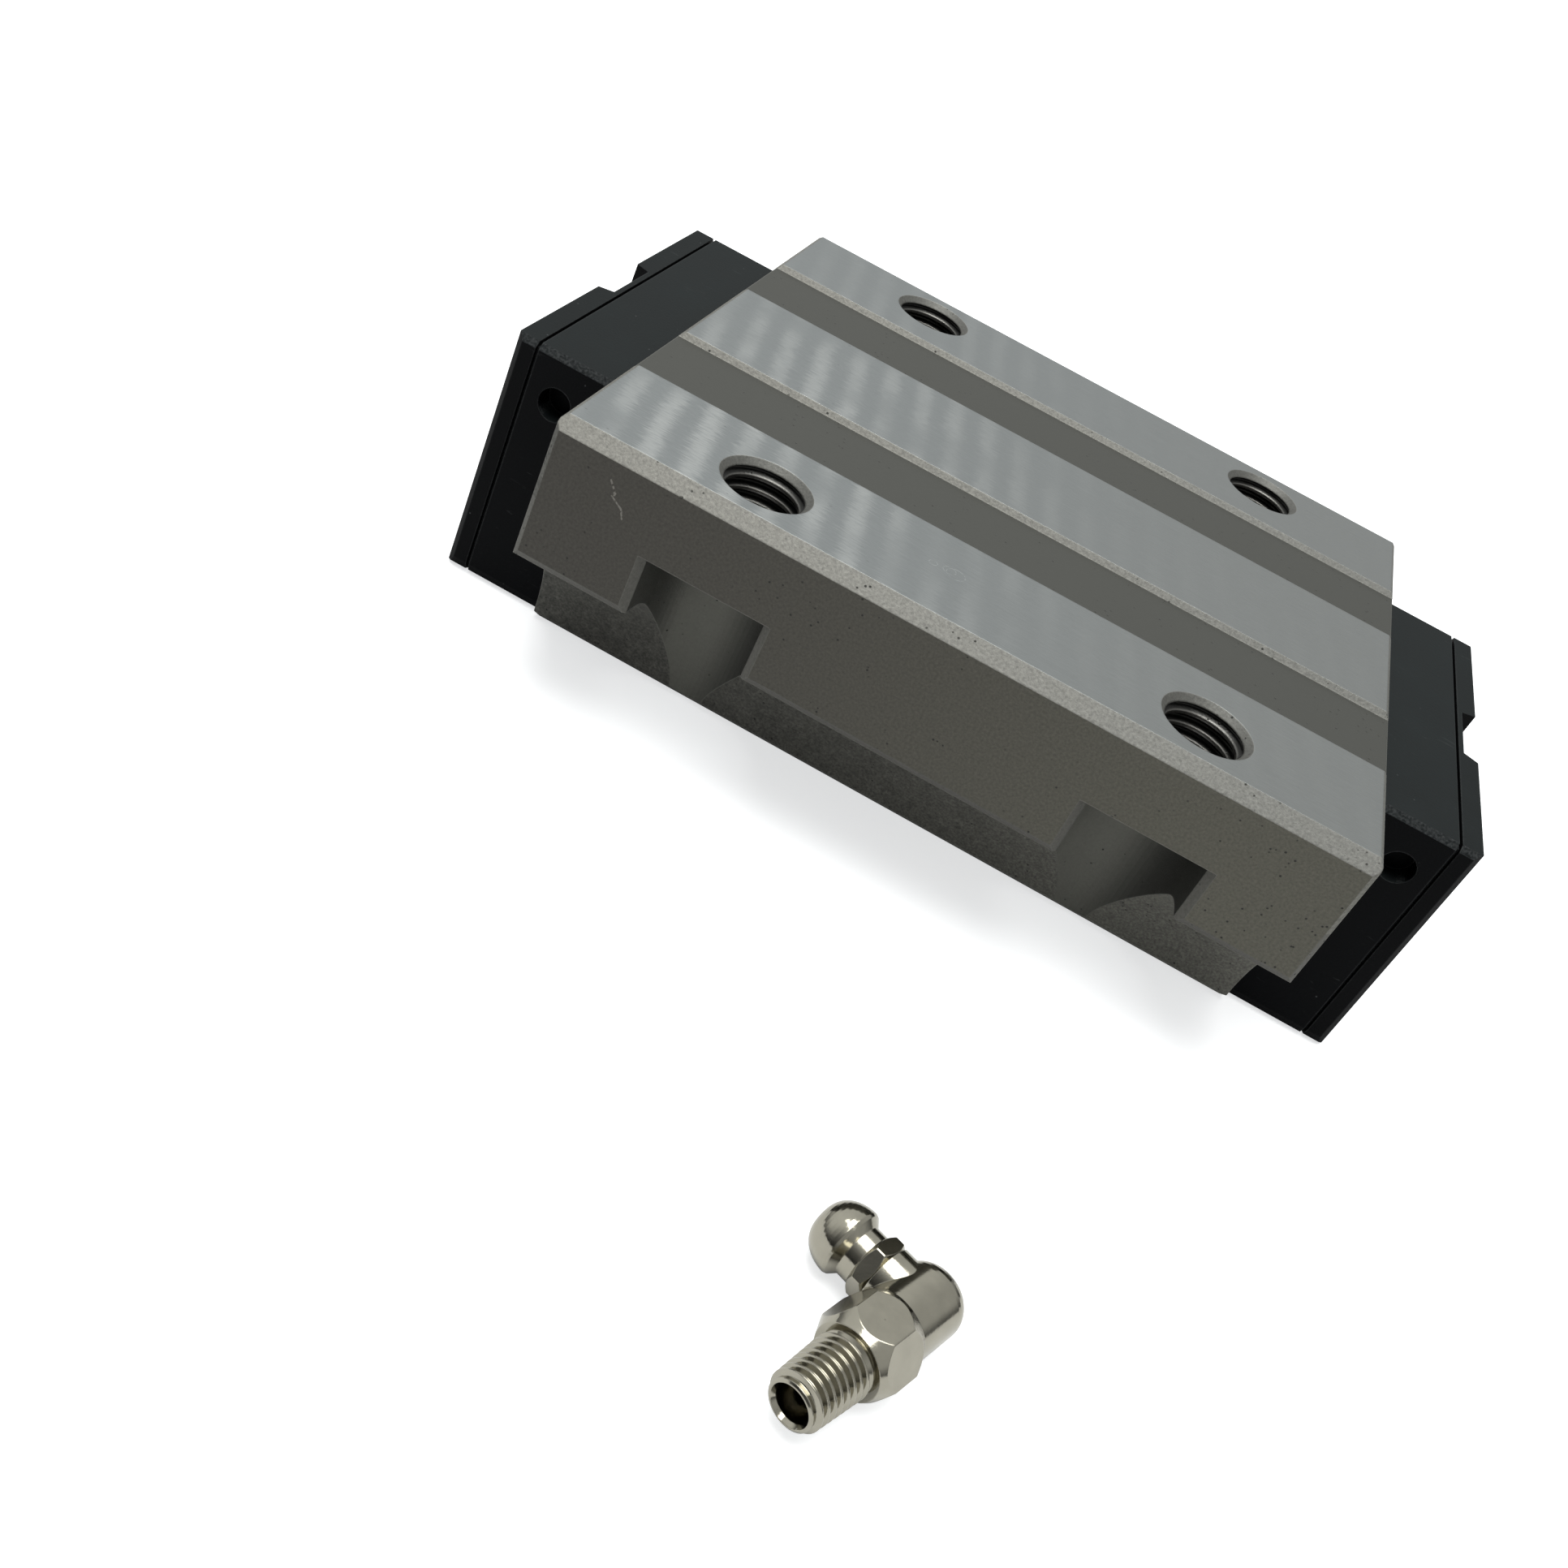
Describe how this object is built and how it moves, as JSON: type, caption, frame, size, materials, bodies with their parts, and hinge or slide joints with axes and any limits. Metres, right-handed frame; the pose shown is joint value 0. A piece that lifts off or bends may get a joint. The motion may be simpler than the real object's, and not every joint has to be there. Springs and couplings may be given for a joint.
{
  "type": "linear guide carriage",
  "caption": "Flanged linear guide carriage with threaded mounting holes, recirculating ball rows, plastic end caps with seals, and a loose elbow grease fitting.",
  "frame": {"origin": "centre of the top mounting face, in the plane of its ground strips", "axes": "+X along the rail, +Z out of the top mounting face, +Y across; the fitting lies on the -Y side"},
  "size_m": [0.1192, 0.1574, 0.0336],
  "materials": {
    "ground_steel": "ground",
    "cap_plastic": "satin",
    "seal_plate": "satin",
    "seal_rubber": "matt",
    "screw_steel": "black oxide",
    "retainer_plastic": "matt",
    "guide_plastic": "matt",
    "ball_steel": "polished",
    "spring_steel": "bright",
    "nickel_brass": "nickel plated"
  },
  "bodies": {
    "carriage": {"carriage_block": "ground_steel", "left_end_cap": "cap_plastic", "right_end_cap": "cap_plastic", "left_end_seal": "seal_plate", "right_end_seal": "seal_plate", "left_seal_lip": "seal_rubber", "right_seal_lip": "seal_rubber", "left_cap_screws": "screw_steel", "right_cap_screws": "screw_steel", "port_plug": "screw_steel", "top_retainer": "retainer_plastic", "near_side_retainer": "retainer_plastic", "far_side_retainer": "retainer_plastic", "near_lower_retainer": "retainer_plastic", "far_lower_retainer": "retainer_plastic", "near_bottom_seal": "seal_rubber", "far_bottom_seal": "seal_rubber", "left_near_upper_guide": "guide_plastic", "left_near_lower_guide": "guide_plastic", "left_far_upper_guide": "guide_plastic", "left_far_lower_guide": "guide_plastic", "right_near_upper_guide": "guide_plastic", "right_near_lower_guide": "guide_plastic", "right_far_upper_guide": "guide_plastic", "right_far_lower_guide": "guide_plastic"},
    "load_rows": {"near_upper_load_balls": "ball_steel", "near_lower_load_balls": "ball_steel", "far_upper_load_balls": "ball_steel", "far_lower_load_balls": "ball_steel"},
    "return_rows": {"near_upper_return_balls": "ball_steel", "near_lower_return_balls": "ball_steel", "far_upper_return_balls": "ball_steel", "far_lower_return_balls": "ball_steel"},
    "left_near_upper_turn": {"left_near_upper_turn_balls": "ball_steel"},
    "left_near_lower_turn": {"left_near_lower_turn_balls": "ball_steel"},
    "left_far_upper_turn": {"left_far_upper_turn_balls": "ball_steel"},
    "left_far_lower_turn": {"left_far_lower_turn_balls": "ball_steel"},
    "right_near_upper_turn": {"right_near_upper_turn_balls": "ball_steel"},
    "right_near_lower_turn": {"right_near_lower_turn_balls": "ball_steel"},
    "right_far_upper_turn": {"right_far_upper_turn_balls": "ball_steel"},
    "right_far_lower_turn": {"right_far_lower_turn_balls": "ball_steel"},
    "fitting": {"fitting_body": "nickel_brass", "fitting_head": "nickel_brass", "fitting_spring": "spring_steel"},
    "fitting_ball": {"fitting_check_ball": "ball_steel"}
  },
  "joints": [
    {"name": "ball_circulation", "type": "slide", "parent": "carriage", "child": "load_rows", "axis": [1, 0, 0], "range_m": [-0.00293, 0.00293]},
    {"name": "ball_return", "type": "slide", "parent": "carriage", "child": "return_rows", "axis": [1, 0, 0], "range_m": [-0.00295, 0.00295]},
    {"name": "left_near_upper_turn_roll", "type": "hinge", "parent": "carriage", "child": "left_near_upper_turn", "pos_m": [-0.0468, -0.01864, -0.01341], "axis": [0, -0.5, -0.866], "range_deg": [-30.5, 30.5]},
    {"name": "left_near_lower_turn_roll", "type": "hinge", "parent": "carriage", "child": "left_near_lower_turn", "pos_m": [-0.0468, -0.0192, -0.02585], "axis": [0, 0.2588, -0.9659], "range_deg": [-30.5, 30.5]},
    {"name": "left_far_upper_turn_roll", "type": "hinge", "parent": "carriage", "child": "left_far_upper_turn", "pos_m": [-0.0468, 0.01864, -0.01341], "axis": [0, -0.5, 0.866], "range_deg": [-30.5, 30.5]},
    {"name": "left_far_lower_turn_roll", "type": "hinge", "parent": "carriage", "child": "left_far_lower_turn", "pos_m": [-0.0468, 0.0192, -0.02585], "axis": [0, 0.2588, 0.9659], "range_deg": [-30.5, 30.5]},
    {"name": "right_near_upper_turn_roll", "type": "hinge", "parent": "carriage", "child": "right_near_upper_turn", "pos_m": [0.0468, -0.01864, -0.01341], "axis": [0, -0.5, -0.866], "range_deg": [-30.5, 30.5]},
    {"name": "right_near_lower_turn_roll", "type": "hinge", "parent": "carriage", "child": "right_near_lower_turn", "pos_m": [0.0468, -0.0192, -0.02585], "axis": [0, 0.2588, -0.9659], "range_deg": [-30.5, 30.5]},
    {"name": "right_far_upper_turn_roll", "type": "hinge", "parent": "carriage", "child": "right_far_upper_turn", "pos_m": [0.0468, 0.01864, -0.01341], "axis": [0, -0.5, 0.866], "range_deg": [-30.5, 30.5]},
    {"name": "right_far_lower_turn_roll", "type": "hinge", "parent": "carriage", "child": "right_far_lower_turn", "pos_m": [0.0468, 0.0192, -0.02585], "axis": [0, 0.2588, 0.9659], "range_deg": [-30.5, 30.5]},
    {"name": "fitting_lift", "type": "slide", "parent": "carriage", "child": "fitting", "axis": [0, 0, 1], "range_m": [0, 0.05]},
    {"name": "check_valve", "type": "slide", "parent": "fitting", "child": "fitting_ball", "axis": [0.9046, -0.4218, 0.061], "range_m": [0, 0.0005], "stiffness_N_per_m": 300, "springref_m": -0.0005, "deforming": ["fitting_spring"]}
  ],
  "couplings": [
    {"joint": "ball_return", "follows": "ball_circulation", "ratio": -1},
    {"joint": "left_near_upper_turn_roll", "follows": "ball_circulation", "rad_per_m": 179.01},
    {"joint": "left_near_lower_turn_roll", "follows": "ball_circulation", "rad_per_m": 179.01},
    {"joint": "left_far_upper_turn_roll", "follows": "ball_circulation", "rad_per_m": 179.01},
    {"joint": "left_far_lower_turn_roll", "follows": "ball_circulation", "rad_per_m": 179.01},
    {"joint": "right_near_upper_turn_roll", "follows": "ball_circulation", "rad_per_m": 179.01},
    {"joint": "right_near_lower_turn_roll", "follows": "ball_circulation", "rad_per_m": 179.01},
    {"joint": "right_far_upper_turn_roll", "follows": "ball_circulation", "rad_per_m": 179.01},
    {"joint": "right_far_lower_turn_roll", "follows": "ball_circulation", "rad_per_m": 179.01}
  ]
}
